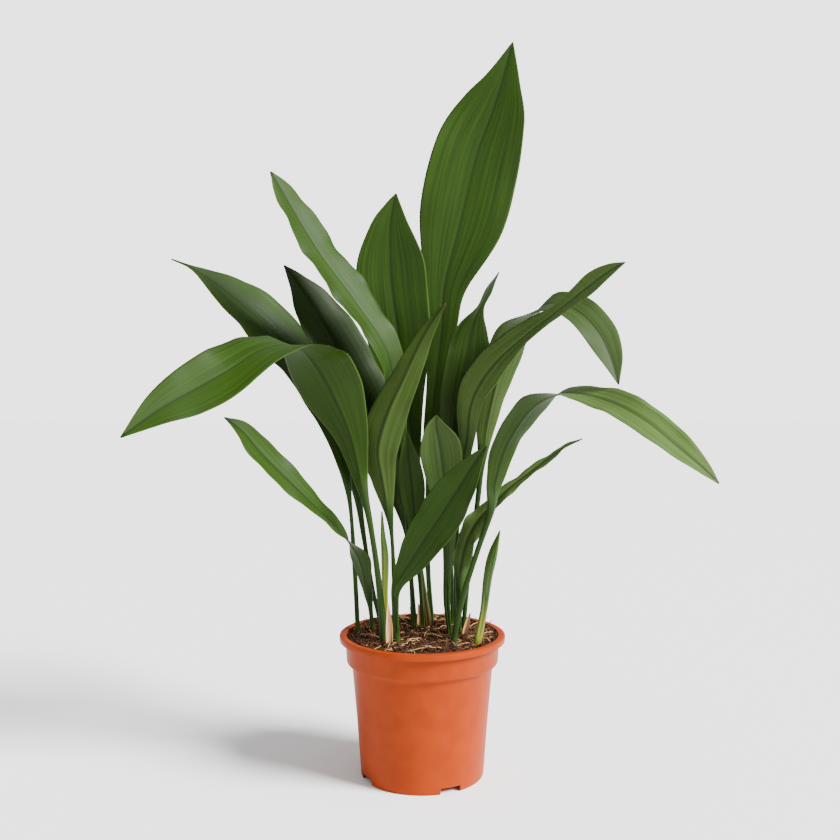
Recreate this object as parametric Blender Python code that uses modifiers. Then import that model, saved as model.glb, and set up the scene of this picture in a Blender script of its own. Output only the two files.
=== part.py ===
"""Potted cast iron plant (Aspidistra elatior) in a plastic nursery pot.

Metres, Z up. The pot's axis is X = Y = 0 and its foot stands on Z = 0. -Y is the front.
Every leaf is one grown piece, petiole and blade together, standing in its own socket in the soil.
"""

import math

import bmesh
import bpy
import numpy as np
from mathutils import Matrix, Vector, noise

MM = 0.001

# Nursery pot: the common 17 cm size.
RIM_RADIUS = 85.0 * MM
POT_HEIGHT = 146.0 * MM
LIP_DROP = 6.5 * MM
COLLAR_RADIUS = 79.0 * MM
COLLAR_FOOT_RADIUS = 77.5 * MM
COLLAR_FOOT = 117.0 * MM
BODY_RADIUS = 72.0 * MM
FOOT_RADIUS = 63.0 * MM
WALL = 1.4 * MM
POT_FLOOR = 8.0 * MM
POT_STEPS = 72
NOTCHES = 4
NOTCH_ANGLE = math.radians(26.5)
NOTCH_WIDTH = 22.0 * MM
NOTCH_HEIGHT = 6.5 * MM
DRAIN_HOLES = 8
DRAIN_RADIUS = 4.5 * MM
DRAIN_CIRCLE = 40.0 * MM

# Potting soil.
GAP = 0.4 * MM
SOIL_EDGE = 141.0 * MM
SOIL_MIDDLE = 143.5 * MM
SOIL_STEPS = 48
SOIL_BUMP = 1.6 * MM
SOCKET_FLOOR = 122.0 * MM
ROOTED_AT = 125.0 * MM
SOCKET_GAP = 0.6 * MM

# Leaves.
SIDES = 8
RING_SPACING = 12.0 * MM
BLADE_HALF_THICKNESS = 0.5 * MM
BLADE_FOLD = math.radians(12.0)
ROUND_BELOW = 3.5 * MM
FLAT_ABOVE = 10.0 * MM
SHEATH_HALF_THICKNESS = 0.4 * MM

# Each leaf from the soil to its tip, in millimetres and degrees, as (x, y, z, half-width, turn).
# The first rows are the petiole and the rest the blade. The turn swings the blade's upper face
# from the front (0) towards its right (90), its back (180) or its left (-90).
TALL_LEAF = (
    (11, 52, 138, 2.8, 0), (6, 57, 208, 2.7, 0), (7, 61, 300, 3.5, 0), (9, 62, 345, 8, 0),
    (14, 62, 395, 10, 0), (21, 62, 458, 16, 0), (24, 61, 505, 24, 5), (41, 56, 572, 46, 5),
    (57, 50, 640, 47, 5), (74, 45, 686, 35, 0), (84, 40, 717, 18, 0), (93, 35, 752, 0.7, 0),
)
UPPER_CENTRE_LEAF = (
    (2, 40, 138, 2.5, 0), (-3, 45, 213, 2.5, 0), (-6, 47, 290, 3.5, 0), (-10, 46, 340, 9, 0),
    (-16, 45, 385, 18, 0), (-24, 42, 445, 33, 0), (-31, 38, 498, 37, 0), (-33, 35, 530, 35, 0),
    (-33, 31, 562, 22, 0), (-30, 29, 583, 10, 0), (-27, 27, 597, 0.7, 0),
)
UPPER_LEFT_LEAF = (
    (-7, 20, 141, 2.4, 0), (-13, 22, 217, 2.4, 0), (-18, 18, 300, 3.2, 20), (-24, 9, 365, 9, 40),
    (-36, 4, 435, 18, 45), (-68, 1, 486, 24, 48), (-100, -1, 529, 24, 50),
    (-125, -4, 569, 20, 50), (-140, -7, 595, 14, 50), (-151, -10, 613, 0.8, 50),
)
SECOND_LEFT_LEAF = (
    (-67, 12, 141, 2.5, 0), (-71, 20, 217, 2.5, 0), (-77, 30, 285, 3, 20), (-90, 42, 341, 14, 40),
    (-121, 50, 410, 28, 45), (-165, 52, 463, 33, 45), (-202, 49, 495, 23, 45),
    (-225, 46, 512, 12, 45), (-243, 43, 523, 3, 45), (-262, 40, 531, 0.8, 50),
)
BIG_LEFT_LEAF = (
    (-38, -30, 142, 4.1, 180), (-44, -28, 207, 3.2, 180), (-52, -26, 262, 3, 178),
    (-60, -23, 299, 6, 172), (-72, -20, 351, 19, 162), (-89, -22, 392, 33, 160),
    (-104, -30, 419, 37, 150), (-117, -46, 436, 35, 118), (-132, -68, 441, 32, 78),
    (-153, -92, 434, 30, 48), (-178, -115, 416, 28, 25), (-204, -132, 400, 25, 15),
    (-230, -149, 384, 17, 12), (-260, -170, 360, 0.7, 10),
)
DARK_LEFT_LEAF = (
    (-10, 36, 146, 2.3, 0), (-12, 36, 198, 2.3, 0), (-15, 34, 238, 3, 15), (-21, 30, 270, 8, 25),
    (-33, 24, 312, 18, 28), (-56, 20, 378, 29, 28), (-89, 23, 441, 32, 38),
    (-114, 24, 483, 26, 42), (-130, 22, 506, 14, 50), (-142, 20, 523, 0.8, 50),
)
LOW_LEFT_LEAF = (
    (-52, 10, 145, 2.6, 140), (-54, 9, 172, 3, 140), (-59, 6, 198, 9, 138),
    (-66, 2, 224, 15, 130), (-84, -6, 253, 16, 85), (-122, -24, 295, 15, 58),
    (-156, -40, 333, 19, 58), (-175, -49, 357, 12, 60), (-191, -57, 371, 0.7, 60),
)
BACK_LEFT_LEAF = (
    (-45, 44, 146, 2.4, 0), (-53, 45, 181, 2.4, 0), (-62, 48, 235, 2.6, 0), (-69, 56, 280, 5, 4),
    (-77, 72, 324, 14, 12), (-87, 98, 357, 24, 32), (-98, 128, 370, 23, 90),
    (-108, 152, 362, 13, 128), (-116, 168, 346, 0.7, 142),
)
PALE_FRONT_LEAF = (
    (-27, -6, 144, 2.5, 165), (-29, -8, 207, 2.4, 165), (-32, -11, 259, 2.8, 165),
    (-40, -14, 305, 13, 165), (-44, -17, 336, 20, 165), (-35, -18, 371, 20, 162),
    (-18, -18, 408, 16, 158), (0, -19, 446, 10, 150), (13, -21, 468, 6, 140),
    (23, -24, 482, 0.8, 130),
)
FRONT_DARK_LEAF = (
    (-26, -28, 140, 4.4, -10), (-27, -31, 177, 3.6, -10), (-25, -36, 203, 6, -15),
    (-7, -44, 235, 17, -22), (17, -55, 274, 23, -25), (37, -65, 307, 18, -25),
    (50, -72, 329, 9, -25), (61, -78, 345, 0.7, -25),
)
SHORT_BROAD_LEAF = (
    (28, 0, 146, 2.6, 0), (25, -4, 181, 3.6, 0), (26, -8, 223, 5, -10), (27, -11, 264, 9, -5),
    (22, -13, 305, 18, 0), (18, -14, 338, 21, 0), (14, -15, 358, 12, 0), (14, -16, 371, 0.8, 0),
)
SMALL_DARK_LEAF = (
    (1, 20, 143, 2.3, 0), (-3, 14, 203, 2.3, 0), (-7, 6, 251, 6, 0), (-10, 1, 293, 13, 0),
    (-13, -3, 322, 11, 0), (-15, -4, 339, 6, 0), (-16, -5, 354, 0.7, 0),
)
NARROW_CURLED_LEAF = (
    (33, 34, 142, 2.3, 0), (31, 36, 194, 2.3, 0), (28, 36, 279, 3, 0), (31, 34, 335, 13, 5),
    (38, 30, 385, 21, 12), (46, 26, 428, 25, 25), (51, 23, 458, 19, 28), (60, 21, 481, 6, 50),
    (69, 21, 500, 7, 60), (79, 22, 516, 0.8, 70),
)
RIGHT_ARCHING_LEAF = (
    (36, 18, 144, 2.4, 0), (35, 15, 219, 2.4, 0), (38, 10, 282, 3, -15), (45, 3, 339, 9, -40),
    (50, -4, 384, 21, -52), (70, -14, 420, 26, -56), (101, -32, 450, 19, -62),
    (132, -58, 475, 12, -62), (158, -84, 497, 15, -55), (171, -96, 507, 10, -52),
    (184, -107, 515, 0.7, -50),
)
RIGHT_DROOPING_LEAF = (
    (43, 20, 144, 2.4, 180), (50, 22, 219, 2.4, 180), (58, 26, 280, 2.8, 190),
    (62, 27, 320, 4.5, 200), (69, 24, 369, 14, 208), (83, 18, 424, 23, 215),
    (103, 2, 463, 27, 240), (126, -18, 482, 22, 290), (150, -36, 475, 19, 325),
    (168, -50, 456, 19, 338), (179, -62, 431, 13, 346), (186, -72, 403, 0.7, 350),
)
RIGHT_LOW_LEAF = (
    (31, -35, 143, 3.4, 185), (39, -33, 186, 3, 192), (54, -28, 233, 2.8, 200),
    (67, -26, 272, 4, 208), (73, -24, 306, 11, 214), (85, -23, 343, 18, 220),
    (109, -28, 379, 23, 232), (139, -46, 394, 18, 275), (171, -80, 389, 17, 318),
    (200, -118, 373, 18, 326), (228, -145, 348, 14, 330), (244, -158, 333, 8, 332),
    (256, -168, 320, 0.7, 335),
)
NARROW_RIGHT_LEAF = (
    (38, 2, 150, 2.4, -20), (38, 2, 187, 3.6, -25), (42, 1, 228, 11, -35), (55, 1, 259, 12, -42),
    (84, 0, 291, 8, -50), (110, -2, 312, 6, -50), (129, -5, 327, 6, -62),
    (144, -8, 338, 4.5, -75), (161, -12, 347, 0.7, -60),
)
LEAVES = {
    "tall_leaf": TALL_LEAF,
    "upper_centre_leaf": UPPER_CENTRE_LEAF,
    "upper_left_leaf": UPPER_LEFT_LEAF,
    "second_left_leaf": SECOND_LEFT_LEAF,
    "big_left_leaf": BIG_LEFT_LEAF,
    "dark_left_leaf": DARK_LEFT_LEAF,
    "low_left_leaf": LOW_LEFT_LEAF,
    "back_left_leaf": BACK_LEFT_LEAF,
    "pale_front_leaf": PALE_FRONT_LEAF,
    "front_dark_leaf": FRONT_DARK_LEAF,
    "short_broad_leaf": SHORT_BROAD_LEAF,
    "small_dark_leaf": SMALL_DARK_LEAF,
    "narrow_curled_leaf": NARROW_CURLED_LEAF,
    "right_arching_leaf": RIGHT_ARCHING_LEAF,
    "right_drooping_leaf": RIGHT_DROOPING_LEAF,
    "right_low_leaf": RIGHT_LOW_LEAF,
    "narrow_right_leaf": NARROW_RIGHT_LEAF,
}

# Young shoots, still rolled: the same rows as a leaf.
ROLLED_LEFT_SHOOT = (
    (-37, -6, 146, 3.4, 0), (-38, -8, 185, 3, 0), (-38, -9, 225, 3.8, 15),
    (-40, -10, 250, 2.4, 20), (-41, -11, 273, 0.7, 20),
)
RIGHT_SHOOT = (
    (54, -35, 140, 4.2, 0), (61, -34, 177, 3.6, 0), (65, -33, 210, 4.6, -20),
    (70, -32, 233, 5.4, -40), (77, -31, 257, 0.7, -40),
)
CENTRE_SHOOT = (
    (6, 32, 146, 3.8, 0), (2, 32, 176, 3.6, 0), (0, 31, 206, 0.8, 0),
)
SHOOTS = {
    "rolled_left_shoot": ROLLED_LEFT_SHOOT,
    "right_shoot": RIGHT_SHOOT,
    "centre_shoot": CENTRE_SHOOT,
}

# Papery sheaths standing beside the stems that have outgrown them.
LEFT_SHEATH = ((-33, -39, 141, 3.8, 5), (-33, -39, 162, 4, 5), (-34, -38, 184, 0.8, 5))
RIGHT_SHEATH = ((44, -6, 146, 3.2, -20), (46, -6, 156, 3, -20), (49, -6, 168, 0.8, -20))
CENTRE_SHEATH = ((-3, 28, 146, 3, 0), (-3, 28, 158, 2.8, 0), (-4, 27, 170, 0.8, 0))
SHEATHS = {
    "left_sheath": LEFT_SHEATH,
    "right_sheath": RIGHT_SHEATH,
    "centre_sheath": CENTRE_SHEATH,
}


def clear_scene():
    for item in list(bpy.data.objects):
        bpy.data.objects.remove(item, do_unlink=True)


def new_collection(name):
    group = bpy.data.collections.new(name)
    bpy.context.scene.collection.children.link(group)
    return group


def material(name, colour, roughness):
    made = bpy.data.materials.new(name)
    made.use_nodes = True
    shader = made.node_tree.nodes["Principled BSDF"]
    shader.inputs["Base Color"].default_value = (*colour, 1.0)
    shader.inputs["Roughness"].default_value = roughness
    shader.inputs["Metallic"].default_value = 0.0
    return made


def pot_plastic():
    return material("terracotta_coloured_plastic", (0.58, 0.12, 0.04), 0.40)


def damp_soil():
    return material("potting_soil", (0.045, 0.020, 0.010), 0.95)


def leaf_green():
    return material("leaf_green", (0.035, 0.085, 0.012), 0.38)


def shoot_green():
    return material("young_shoot_green", (0.30, 0.38, 0.05), 0.45)


def papery_tan():
    return material("papery_sheath_tan", (0.48, 0.29, 0.14), 0.80)


def add_object(name, bm, group, finish):
    """Turns a bmesh into a named object in the given collection."""
    mesh = bpy.data.meshes.new(name)
    bm.to_mesh(mesh)
    bm.free()
    mesh.materials.append(finish)
    mesh.polygons.foreach_set("use_smooth", [True] * len(mesh.polygons))
    made = bpy.data.objects.new(name, mesh)
    group.objects.link(made)
    return made


def apply_modifiers(item):
    """Replaces the object's mesh by the one its modifiers make."""
    graph = bpy.context.evaluated_depsgraph_get()
    item.data = bpy.data.meshes.new_from_object(item.evaluated_get(graph))
    item.modifiers.clear()


def turned(name, profile, steps, group, finish):
    """Turns a closed profile of (radius, height) about the Z axis."""
    bm = bmesh.new()
    corners = [bm.verts.new((radius, 0.0, height)) for radius, height in profile]
    for first, second in zip(corners, corners[1:]):
        bm.edges.new((first, second))
    if profile[0][0] > 0.0:
        bm.edges.new((corners[-1], corners[0]))
    mesh = bpy.data.meshes.new(name)
    bm.to_mesh(mesh)
    bm.free()
    mesh.materials.append(finish)
    made = bpy.data.objects.new(name, mesh)
    group.objects.link(made)
    screw = made.modifiers.new("turn", "SCREW")
    screw.steps = steps
    screw.render_steps = steps
    screw.use_merge_vertices = True
    screw.merge_threshold = 0.00001
    screw.use_smooth_shade = True
    screw.use_normal_calculate = True
    return made


def cutter(name, bm, group):
    mesh = bpy.data.meshes.new(name)
    bm.to_mesh(mesh)
    bm.free()
    made = bpy.data.objects.new(name, mesh)
    made.hide_render = True
    made.display_type = "WIRE"
    group.objects.link(made)
    return made


def cut(item, tool):
    step = item.modifiers.new("cut_" + tool.name, "BOOLEAN")
    step.operation = "DIFFERENCE"
    step.solver = "EXACT"
    step.object = tool


def wall_radius(height):
    """Outside radius of the pot's body at a height."""
    share = height / COLLAR_FOOT
    return FOOT_RADIUS + (BODY_RADIUS - FOOT_RADIUS) * share


def pot_inside(height):
    """Inside radius of the pot at a height: the wall has the same thickness all the way up."""
    if height < COLLAR_FOOT:
        return wall_radius(height) - WALL
    share = (height - COLLAR_FOOT) / (POT_HEIGHT - COLLAR_FOOT)
    return COLLAR_FOOT_RADIUS - WALL + (COLLAR_RADIUS - COLLAR_FOOT_RADIUS) * share


def pot_profile():
    """The pot's section: rolled lip, collar, step, tapered body, foot ring and raised floor."""
    lip_foot = POT_HEIGHT - LIP_DROP
    return [
        (pot_inside(POT_HEIGHT), POT_HEIGHT - 1.0 * MM),
        (pot_inside(POT_HEIGHT) + 1.0 * MM, POT_HEIGHT),
        (RIM_RADIUS - 1.5 * MM, POT_HEIGHT),
        (RIM_RADIUS - 0.4 * MM, POT_HEIGHT - 0.5 * MM),
        (RIM_RADIUS, POT_HEIGHT - 1.6 * MM),
        (RIM_RADIUS - 0.3 * MM, lip_foot),
        (RIM_RADIUS - 1.6 * MM, lip_foot),
        (RIM_RADIUS - 1.8 * MM, POT_HEIGHT - 2.2 * MM),
        (COLLAR_RADIUS + 0.8 * MM, POT_HEIGHT - 2.6 * MM),
        (COLLAR_RADIUS - 0.1 * MM, POT_HEIGHT - 4.0 * MM),
        (COLLAR_FOOT_RADIUS, COLLAR_FOOT + 1.5 * MM),
        (COLLAR_FOOT_RADIUS - 0.8 * MM, COLLAR_FOOT),
        (BODY_RADIUS + 1.2 * MM, COLLAR_FOOT - 1.0 * MM),
        (BODY_RADIUS, COLLAR_FOOT - 2.6 * MM),
        (wall_radius(60.0 * MM), 60.0 * MM),
        (wall_radius(5.0 * MM), 5.0 * MM),
        (FOOT_RADIUS - 0.4 * MM, 0.8 * MM),
        (FOOT_RADIUS - 1.2 * MM, 0.0),
        (FOOT_RADIUS - 2.4 * MM, 0.0),
        (FOOT_RADIUS - 2.8 * MM, POT_FLOOR - 1.6 * MM),
        (0.0, POT_FLOOR - 1.6 * MM),
        (0.0, POT_FLOOR),
        (pot_inside(POT_FLOOR) - 1.5 * MM, POT_FLOOR),
        (pot_inside(POT_FLOOR + 1.5 * MM), POT_FLOOR + 1.5 * MM),
        (pot_inside(60.0 * MM), 60.0 * MM),
        (pot_inside(COLLAR_FOOT - 3.5 * MM), COLLAR_FOOT - 3.5 * MM),
        (pot_inside(COLLAR_FOOT + 1.5 * MM), COLLAR_FOOT + 1.5 * MM),
    ]


def notch_cutter(group):
    """Four open notches through the foot ring, which let water run out."""
    bm = bmesh.new()
    for i in range(NOTCHES):
        angle = NOTCH_ANGLE - math.pi / 2 + i * 2 * math.pi / NOTCHES
        box = bmesh.ops.create_cube(bm, size=1.0)["verts"]
        bmesh.ops.scale(bm, vec=(12.0 * MM, NOTCH_WIDTH, 2 * NOTCH_HEIGHT), verts=box)
        bmesh.ops.translate(bm, vec=(FOOT_RADIUS, 0.0, -0.5 * MM), verts=box)
        bmesh.ops.rotate(bm, matrix=Matrix.Rotation(angle, 3, "Z"), verts=box)
    return cutter("foot_notches", bm, group)


def drain_cutter(group):
    """A ring of drain holes through the floor and one in the middle."""
    bm = bmesh.new()
    for i in range(DRAIN_HOLES + 1):
        angle = i * 2 * math.pi / DRAIN_HOLES
        reach = DRAIN_CIRCLE if i < DRAIN_HOLES else 0.0
        hole = bmesh.ops.create_cone(
            bm, cap_ends=True, segments=16, radius1=DRAIN_RADIUS, radius2=DRAIN_RADIUS,
            depth=20.0 * MM)["verts"]
        where = (reach * math.cos(angle), reach * math.sin(angle), POT_FLOOR)
        bmesh.ops.translate(bm, vec=where, verts=hole)
    return cutter("drain_holes", bm, group)


def build_pot(group, helpers):
    pot = turned("nursery_pot", pot_profile(), POT_STEPS, group, pot_plastic())
    apply_modifiers(pot)
    make_faces_point_out(pot)
    cut(pot, notch_cutter(helpers))
    cut(pot, drain_cutter(helpers))
    apply_modifiers(pot)
    return pot


def make_faces_point_out(item):
    bm = bmesh.new()
    bm.from_mesh(item.data)
    bmesh.ops.remove_doubles(bm, verts=bm.verts, dist=0.00001)
    bmesh.ops.recalc_face_normals(bm, faces=bm.faces)
    bm.to_mesh(item.data)
    bm.free()


def soil_height(x, y):
    """Height of the soil's surface: a low mound with clods."""
    reach = math.hypot(x, y) / pot_inside(SOIL_EDGE)
    mound = SOIL_MIDDLE + (SOIL_EDGE - SOIL_MIDDLE) * reach**2
    bump = noise.noise(Vector((x * 90.0, y * 90.0, 3.7)))
    return mound + SOIL_BUMP * bump


def soil_profile():
    """Rings across the surface, then down the pot's inside and across its floor, a gap away."""
    edge = pot_inside(SOIL_EDGE) - GAP
    rings = [(edge * i / 9.0, SOIL_MIDDLE) for i in range(10)]
    down = [(pot_inside(COLLAR_FOOT + 1.5 * MM) - GAP, COLLAR_FOOT + 2.0 * MM),
            (pot_inside(COLLAR_FOOT - 3.5 * MM) - GAP, COLLAR_FOOT - 3.0 * MM),
            (pot_inside(60.0 * MM) - GAP, 60.0 * MM),
            (pot_inside(POT_FLOOR) - 2.2 * MM, POT_FLOOR + 1.2 * MM),
            (0.0, POT_FLOOR + GAP)]
    return rings + down


def socket_cutter(group, feet):
    """One straight socket for each stem or shoot that stands in the soil."""
    bm = bmesh.new()
    depth = 60.0 * MM
    for x, y, radius in feet:
        reach = radius + SOCKET_GAP
        hole = bmesh.ops.create_cone(
            bm, cap_ends=True, segments=12, radius1=reach, radius2=reach, depth=depth)["verts"]
        bmesh.ops.translate(bm, vec=(x, y, SOCKET_FLOOR + depth / 2), verts=hole)
    return cutter("stem_sockets", bm, group)


def build_soil(group, helpers, feet):
    soil = turned("potting_soil", soil_profile(), SOIL_STEPS, group, damp_soil())
    apply_modifiers(soil)
    make_faces_point_out(soil)
    for corner in soil.data.vertices:
        if corner.co.z > SOIL_MIDDLE - 0.1 * MM:
            corner.co.z = soil_height(corner.co.x, corner.co.y)
    cut(soil, socket_cutter(helpers, feet))
    apply_modifiers(soil)
    return soil


def smooth_rows(rows, count):
    """Rows evenly spaced along a smooth curve through the given ones (Catmull-Rom)."""
    given = np.array(rows, float)
    ends = np.vstack([2 * given[0] - given[1], given, 2 * given[-1] - given[-2]])
    fine = []
    for a, b, c, d in zip(ends, ends[1:], ends[2:], ends[3:]):
        for t in np.linspace(0.0, 1.0, 24, endpoint=False):
            fine.append(0.5 * (2 * b + (c - a) * t + (2 * a - 5 * b + 4 * c - d) * t**2
                               + (3 * b - a - 3 * c + d) * t**3))
    fine = np.array(fine + [given[-1]])
    steps = np.linalg.norm(np.diff(fine[:, :3], axis=0), axis=1)
    along = np.concatenate([[0.0], np.cumsum(steps)])
    at = np.linspace(0.0, along[-1], count)
    columns = [np.interp(at, along, fine[:, k]) for k in range(fine.shape[1])]
    return np.stack(columns, axis=1), along[-1]


def blade_frames(centres, turns):
    """The upper face's direction and the sideways direction at each centre."""
    tangents = np.gradient(centres, axis=0)
    tangents /= np.linalg.norm(tangents, axis=1)[:, None]
    front = np.array([0.0, -1.0, 0.0])
    frames = []
    for tangent, turn in zip(tangents, np.radians(turns)):
        facing = front - tangent * (front @ tangent)
        facing /= np.linalg.norm(facing)
        side = np.cross(tangent, facing)
        upper = math.cos(turn) * facing + math.sin(turn) * side
        frames.append((upper, np.cross(upper, tangent)))
    return frames


def flatness(halves):
    """0 where the leaf is a round petiole, 1 where it is a thin blade, which it stays to the tip."""
    share = np.clip((halves - ROUND_BELOW) / (FLAT_ABOVE - ROUND_BELOW), 0.0, 1.0)
    return np.maximum.accumulate(share)


def split_quads(bm, places):
    """Splits every four-sided face from its corner nearer the midrib to the opposite one.

    The upper and lower faces are then split alike, so they stay apart where the blade twists.
    """
    for face in [face for face in bm.faces if len(face.verts) == 4]:
        near, far = sorted(face.verts, key=lambda corner: places[corner])[0::3]
        bmesh.utils.face_split(face, near, far)


def drawn_tube(rows, half_thickness, always_thin):
    """A tube of rings drawn out along the rows into a round petiole and a thin, folded blade."""
    root = (rows[0][0], rows[0][1], ROOTED_AT / MM, rows[0][3], rows[0][4])
    scale = np.array([MM, MM, MM, MM, 1.0])
    scaled = np.array([root] + list(rows)) * scale
    _, length = smooth_rows(scaled, 2)
    count = max(6, int(length / RING_SPACING))
    path, _ = smooth_rows(scaled, count + 1)
    frames = blade_frames(path[:, :3], path[:, 4])
    halves = np.maximum(path[:, 3], rows[-1][3] * MM)
    flat = np.ones(count + 1) if always_thin else flatness(halves)
    bm = bmesh.new()
    bmesh.ops.create_cone(bm, cap_ends=True, segments=SIDES, radius1=1.0, radius2=1.0, depth=1.0)
    sides = [edge for edge in bm.edges if abs(edge.verts[0].co.z - edge.verts[1].co.z) > 0.5]
    bmesh.ops.subdivide_edges(bm, edges=sides, cuts=count - 1, use_grid_fill=True)
    places = {}
    for corner in bm.verts:
        ring = round((corner.co.z + 0.5) * count)
        places[corner] = (ring, abs(corner.co.x))
        half = halves[ring]
        thick = half * 0.85 * (1.0 - flat[ring]) + half_thickness * flat[ring]
        fold = BLADE_FOLD * flat[ring]
        upper, side = frames[ring]
        across = corner.co.x * half
        rise = abs(across) * math.sin(fold) + thick * corner.co.y
        corner.co = Vector(path[ring, :3] + side * across * math.cos(fold) + upper * rise)
    split_quads(bm, places)
    return bm


def build_grown(name, rows, group, finish, half_thickness=BLADE_HALF_THICKNESS, thin=False):
    """One grown piece: a leaf, a shoot or a sheath. Returns its foot for the soil's socket."""
    add_object(name, drawn_tube(rows, half_thickness, thin), group, finish)
    return rows[0][0] * MM, rows[0][1] * MM, rows[0][3] * MM


def main():
    clear_scene()
    plant = new_collection("potted_cast_iron_plant")
    helpers = new_collection("cutters")
    build_pot(plant, helpers)
    green, young, tan = leaf_green(), shoot_green(), papery_tan()
    feet = [build_grown(name, rows, plant, green) for name, rows in LEAVES.items()]
    feet += [build_grown(name, rows, plant, young) for name, rows in SHOOTS.items()]
    for name, rows in SHEATHS.items():
        feet.append(build_grown(name, rows, plant, tan, SHEATH_HALF_THICKNESS, thin=True))
    build_soil(plant, helpers, feet)


main()
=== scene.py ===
"""The looks of a potted cast iron plant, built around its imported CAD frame.

Metres, Z up, the pot's axis at X = Y = 0 and its foot on Z = 0. Every grown piece (leaf, shoot or
sheath) is a tube drawn along its own rows into a round petiole and a thin, pleated blade.
"""

import logging
import math
from dataclasses import dataclass, field
from enum import Enum

import bpy
import numpy as np
from mathutils import Matrix, Vector, noise


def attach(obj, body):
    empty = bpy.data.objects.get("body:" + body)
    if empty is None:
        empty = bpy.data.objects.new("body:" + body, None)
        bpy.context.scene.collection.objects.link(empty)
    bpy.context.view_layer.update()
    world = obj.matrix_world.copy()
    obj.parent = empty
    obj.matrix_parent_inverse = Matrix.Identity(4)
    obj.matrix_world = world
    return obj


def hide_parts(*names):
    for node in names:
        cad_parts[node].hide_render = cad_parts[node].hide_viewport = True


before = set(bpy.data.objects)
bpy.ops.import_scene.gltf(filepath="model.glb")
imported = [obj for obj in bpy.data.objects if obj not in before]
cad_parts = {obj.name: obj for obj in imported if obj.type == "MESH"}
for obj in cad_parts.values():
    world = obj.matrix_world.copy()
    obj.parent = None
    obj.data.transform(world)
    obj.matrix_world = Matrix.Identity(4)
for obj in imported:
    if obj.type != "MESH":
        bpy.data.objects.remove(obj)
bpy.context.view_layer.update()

log = logging.getLogger("cast_iron_plant")
MM = 0.001
BODY = "root"
ROOTED_AT = 126.0 * MM
ROUND_BELOW = 3.5 * MM
FLAT_ABOVE = 10.0 * MM
UNDERSIDE_SHIFT = 300.0
PIECE_SHIFT = 37.0
Row = tuple[float, float, float, float, float]


def linear(hex_colour: str) -> tuple[float, float, float, float]:
    """Turn an sRGB hex colour into linear RGBA.

    Args:
        hex_colour: Six hex digits after a hash.

    Returns:
        The colour in linear light, with full alpha.
    """
    parts = [int(hex_colour[i : i + 2], 16) / 255.0 for i in (1, 3, 5)]
    curve = [p / 12.92 if p <= 0.04045 else ((p + 0.055) / 1.055) ** 2.4 for p in parts]
    return curve[0], curve[1], curve[2], 1.0


def add_node(tree: bpy.types.NodeTree, kind: str, settings: dict | None = None,
             inputs: dict | None = None, links: dict | None = None) -> bpy.types.Node:
    """Add one shader node with its settings, input values and incoming links.

    Args:
        tree: The material's node tree.
        kind: The node's type name.
        settings: Attributes to set on the node.
        inputs: Socket name or number to value.
        links: Socket name or number to the output socket that feeds it.

    Returns:
        The new node.
    """
    node = tree.nodes.new(kind)
    for name, value in (settings or {}).items():
        setattr(node, name, value)
    for name, value in (inputs or {}).items():
        node.inputs[name].default_value = value
    for name, source in (links or {}).items():
        tree.links.new(source, node.inputs[name])
    return node


def ramp(tree: bpy.types.NodeTree, source: bpy.types.NodeSocket,
         stops: list[tuple[float, str]]) -> bpy.types.NodeSocket:
    """Colour a value through a ramp.

    Args:
        tree: The material's node tree.
        source: The value.
        stops: Places and sRGB colours.

    Returns:
        The colour output.
    """
    node = add_node(tree, "ShaderNodeValToRGB", links={"Fac": source})
    while len(node.color_ramp.elements) < len(stops):
        node.color_ramp.elements.new(0.5)
    for element, (place, colour) in zip(node.color_ramp.elements, stops):
        element.position = place
        element.color = linear(colour)
    return node.outputs["Color"]


def new_material(name: str) -> tuple[bpy.types.Material, bpy.types.NodeTree, bpy.types.Node]:
    """Start a material: returns it, its node tree and its Principled shader."""
    made = bpy.data.materials.new(name)
    made.use_nodes = True
    return made, made.node_tree, made.node_tree.nodes["Principled BSDF"]


def blend_colours(tree: bpy.types.NodeTree, share: bpy.types.NodeSocket, low: object,
                  high: object) -> bpy.types.NodeSocket:
    """Mix two colours, each an output socket or an sRGB hex value.

    Args:
        tree: The material's node tree.
        share: How much of the second colour.
        low: First colour.
        high: Second colour.

    Returns:
        The mixed colour's output.
    """
    node = add_node(tree, "ShaderNodeMix", {"data_type": "RGBA", "blend_type": "MIX"})
    tree.links.new(share, node.inputs[0])
    for place, colour in ((6, low), (7, high)):
        if isinstance(colour, str):
            node.inputs[place].default_value = linear(colour)
        else:
            tree.links.new(colour, node.inputs[place])
    return node.outputs[2]


class Tone(Enum):
    """How light a leaf is painted: deep and light streak of its upper face, then of its underside. The mid
    tone is the leaf's own green; the others are copies of it with light and shade painted in.
    """

    # painted shade: a darker copy for leaves that sit in shade
    DEEP = ("#0e1c02", "#203504", "#0e1b02", "#213505")
    MID = ("#132402", "#284204", "#142402", "#2a4206")
    # painted light: a brighter yellow-green for light shining through the blade
    BRIGHT = ("#192f02", "#324f04", "#1b2e03", "#345007")
    # painted sheen: a greyer, lighter copy standing in for glossy highlights
    GREY = ("#1c2c10", "#384b1e", "#202f10", "#40551f")
    # painted light and shade: upper face lightened where it faces the key light, underside darkened in shade
    PALE = ("#2f431c", "#566d36", "#152504", "#2b4309")


class LeafColour(Enum):
    """Colours that every leaf shares, whatever its tone."""

    STALK_DEEP = "#0f1c05"
    STALK_LIGHT = "#26400e"
    # painted shade: near-black line standing in for the shadow at the bottom of the midrib's groove
    MIDRIB = "#0b1605"
    MARGIN = "#56702c"
    DRY = "#3a2c10"
    FOOT = "#3c5018"


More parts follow.
